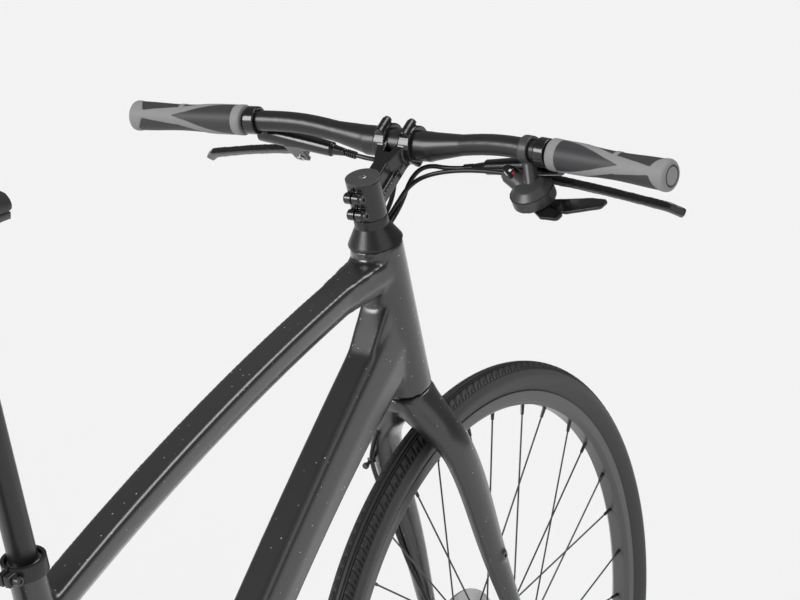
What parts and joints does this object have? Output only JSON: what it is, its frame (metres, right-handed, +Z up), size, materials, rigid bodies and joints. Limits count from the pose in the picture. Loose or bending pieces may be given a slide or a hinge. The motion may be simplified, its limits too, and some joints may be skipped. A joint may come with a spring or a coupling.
{
  "type": "hybrid bicycle",
  "caption": "Flat-bar hybrid bicycle with disc brakes, derailleur drivetrain, turning fork, spinning wheels, sliding seatpost and working levers.",
  "frame": {"origin": "on the ground, midway between the two tyre contact points", "axes": "+X forward, +Y to the rider's left, +Z up"},
  "size_m": [1.8099, 0.6626, 1.0261],
  "materials": {
    "frame_paint": "satin with fine pale flecks",
    "satin_black": "satin",
    "gloss_black": "gloss",
    "dark_plastic": "matte",
    "grip_rubber": "matte, two-tone",
    "tyre": "matte",
    "black_steel": "satin",
    "bare_steel": "brushed",
    "hose": "semi-gloss",
    "saddle_skin": "matte, textured"
  },
  "bodies": {
    "frame_body": {"frame": "frame_paint", "top_tube": "frame_paint", "rear_frame": "frame_paint", "derailleur_hanger": "gloss_black", "seat_clamp": "satin_black", "headset_bearings": "bare_steel", "bottom_bracket": "gloss_black", "rear_caliper": "gloss_black", "rear_brake_hose": "hose", "rear_shift_cable": "hose", "derailleur_mount": "gloss_black", "rear_axle": "bare_steel", "chain": "bare_steel"},
    "seat": {"seatpost": "satin_black", "saddle_rails": "black_steel", "saddle_base": "dark_plastic", "saddle_cover": "saddle_skin"},
    "steering": {"fork": "frame_paint", "headset_cover": "satin_black", "stem": "gloss_black", "stem_faceplate": "gloss_black", "stem_top_cap": "gloss_black", "handlebar": "satin_black", "grip_left": "grip_rubber", "grip_right": "grip_rubber", "brake_bracket_left": "gloss_black", "brake_bracket_right": "gloss_black", "shifter_body": "dark_plastic", "front_brake_hose": "hose", "rear_brake_hose_front": "hose", "shift_cable_front": "hose", "front_caliper": "gloss_black", "front_axle": "bare_steel"},
    "left_brake_lever": {"brake_lever_left": "gloss_black"},
    "right_brake_lever": {"brake_lever_right": "gloss_black"},
    "thumb_shift_lever": {"shift_lever": "dark_plastic"},
    "finger_release_lever": {"shift_release_lever": "dark_plastic"},
    "front_skewer_lever": {"front_quick_release": "bare_steel"},
    "rear_skewer_lever": {"rear_quick_release": "bare_steel"},
    "front_wheel": {"front_tyre": "tyre", "front_rim": "satin_black", "front_spokes": "black_steel", "front_hub": "gloss_black", "front_rotor": "bare_steel"},
    "rear_wheel": {"rear_tyre": "tyre", "rear_rim": "satin_black", "rear_spokes": "black_steel", "rear_hub": "gloss_black", "rear_rotor": "bare_steel"},
    "sprockets": {"cassette": "bare_steel"},
    "crankset": {"crank_arm_right": "gloss_black", "crank_arm_left": "gloss_black", "chainring": "black_steel"},
    "left_pedal": {"pedal_left": "dark_plastic"},
    "right_pedal": {"pedal_right": "dark_plastic"},
    "shift_link": {"derailleur_link": "gloss_black"},
    "shift_knuckle": {"derailleur_knuckle": "gloss_black"},
    "pulley_cage": {"derailleur_cage": "black_steel"},
    "upper_pulley": {"guide_pulley": "dark_plastic"},
    "lower_pulley": {"tension_pulley": "dark_plastic"}
  },
  "joints": [
    {"name": "steering_turn", "type": "hinge", "parent": "frame_body", "child": "steering", "pos_m": [0.37566, 0, 0.71298], "axis": [-0.3338, 0, 0.9426], "range_deg": [-75, 75]},
    {"name": "seatpost_slide", "type": "slide", "parent": "frame_body", "child": "seat", "axis": [-0.284, 0, 0.9588], "range_m": [-0.15, 0]},
    {"name": "front_wheel_spin", "type": "hinge", "parent": "steering", "child": "front_wheel", "pos_m": [0.556, 0, 0.349], "axis": [0, 1, 0], "continuous": true},
    {"name": "rear_wheel_spin", "type": "hinge", "parent": "frame_body", "child": "rear_wheel", "pos_m": [-0.556, 0, 0.349], "axis": [0, 1, 0], "continuous": true},
    {"name": "crank_spin", "type": "hinge", "parent": "frame_body", "child": "crankset", "pos_m": [-0.12083, 0, 0.284], "axis": [0, 1, 0], "continuous": true, "deforming": ["chain"]},
    {"name": "sprocket_spin", "type": "hinge", "parent": "frame_body", "child": "sprockets", "pos_m": [-0.556, 0, 0.349], "axis": [0, 1, 0], "continuous": true, "deforming": ["chain"]},
    {"name": "left_pedal_spin", "type": "hinge", "parent": "crankset", "child": "left_pedal", "pos_m": [-0.29083, 0.1235, 0.284], "axis": [0, 1, 0], "continuous": true},
    {"name": "right_pedal_spin", "type": "hinge", "parent": "crankset", "child": "right_pedal", "pos_m": [0.04917, -0.1235, 0.284], "axis": [0, 1, 0], "continuous": true},
    {"name": "left_brake_pull", "type": "hinge", "parent": "steering", "child": "left_brake_lever", "pos_m": [0.3937, 0.14373, 0.95139], "axis": [0.6157, 0, 0.788], "range_deg": [0, 15], "stiffness_Nm_per_rad": 1.5, "springref_deg": -8.59},
    {"name": "right_brake_pull", "type": "hinge", "parent": "steering", "child": "right_brake_lever", "pos_m": [0.3937, -0.14373, 0.95139], "axis": [-0.6157, 0, -0.788], "range_deg": [0, 15], "stiffness_Nm_per_rad": 1.5, "springref_deg": -8.59},
    {"name": "thumb_shift", "type": "hinge", "parent": "steering", "child": "thumb_shift_lever", "pos_m": [0.34796, -0.16983, 0.93976], "axis": [-0.5001, 0.1, 0.8602], "range_deg": [0, 18], "stiffness_Nm_per_rad": 0.3, "springref_deg": -5.73},
    {"name": "release_shift", "type": "hinge", "parent": "steering", "child": "finger_release_lever", "pos_m": [0.34796, -0.16983, 0.93976], "axis": [0.5001, -0.1, -0.8602], "range_deg": [0, 15], "stiffness_Nm_per_rad": 0.3, "springref_deg": -5.73},
    {"name": "front_skewer_open", "type": "hinge", "parent": "steering", "child": "front_skewer_lever", "pos_m": [0.556, 0.0673, 0.349], "axis": [-0.9426, 0, -0.3338], "range_deg": [0, 160]},
    {"name": "rear_skewer_open", "type": "hinge", "parent": "frame_body", "child": "rear_skewer_lever", "pos_m": [-0.556, 0.0848, 0.349], "axis": [-0.6428, 0, 0.766], "range_deg": [0, 160]},
    {"name": "derailleur_shift", "type": "hinge", "parent": "frame_body", "child": "shift_link", "pos_m": [-0.552, -0.084, 0.302], "axis": [0, 0.5708, 0.8211], "range_deg": [-35, 35], "deforming": ["chain"]},
    {"name": "knuckle_swing", "type": "hinge", "parent": "shift_link", "child": "shift_knuckle", "pos_m": [-0.516, -0.07, 0.29227], "axis": [0, 0.5708, 0.8211], "range_deg": [-35, 35], "deforming": ["chain"]},
    {"name": "cage_swing", "type": "hinge", "parent": "shift_knuckle", "child": "pulley_cage", "pos_m": [-0.498, -0.053, 0.283], "axis": [0, 1, 0], "range_deg": [-45, 15], "stiffness_Nm_per_rad": 0.6, "deforming": ["chain"]},
    {"name": "guide_pulley_spin", "type": "hinge", "parent": "pulley_cage", "child": "upper_pulley", "pos_m": [-0.50187, -0.0438, 0.26429], "axis": [0, 1, 0], "continuous": true, "deforming": ["chain"]},
    {"name": "tension_pulley_spin", "type": "hinge", "parent": "pulley_cage", "child": "lower_pulley", "pos_m": [-0.49963, -0.0438, 0.20834], "axis": [0, 1, 0], "continuous": true, "deforming": ["chain"]}
  ],
  "couplings": [
    {"joint": "sprocket_spin", "follows": "crank_spin", "ratio": 2},
    {"joint": "guide_pulley_spin", "follows": "crank_spin", "ratio": -3.6364},
    {"joint": "tension_pulley_spin", "follows": "crank_spin", "ratio": 3.6364},
    {"joint": "knuckle_swing", "follows": "derailleur_shift", "ratio": -1}
  ]
}
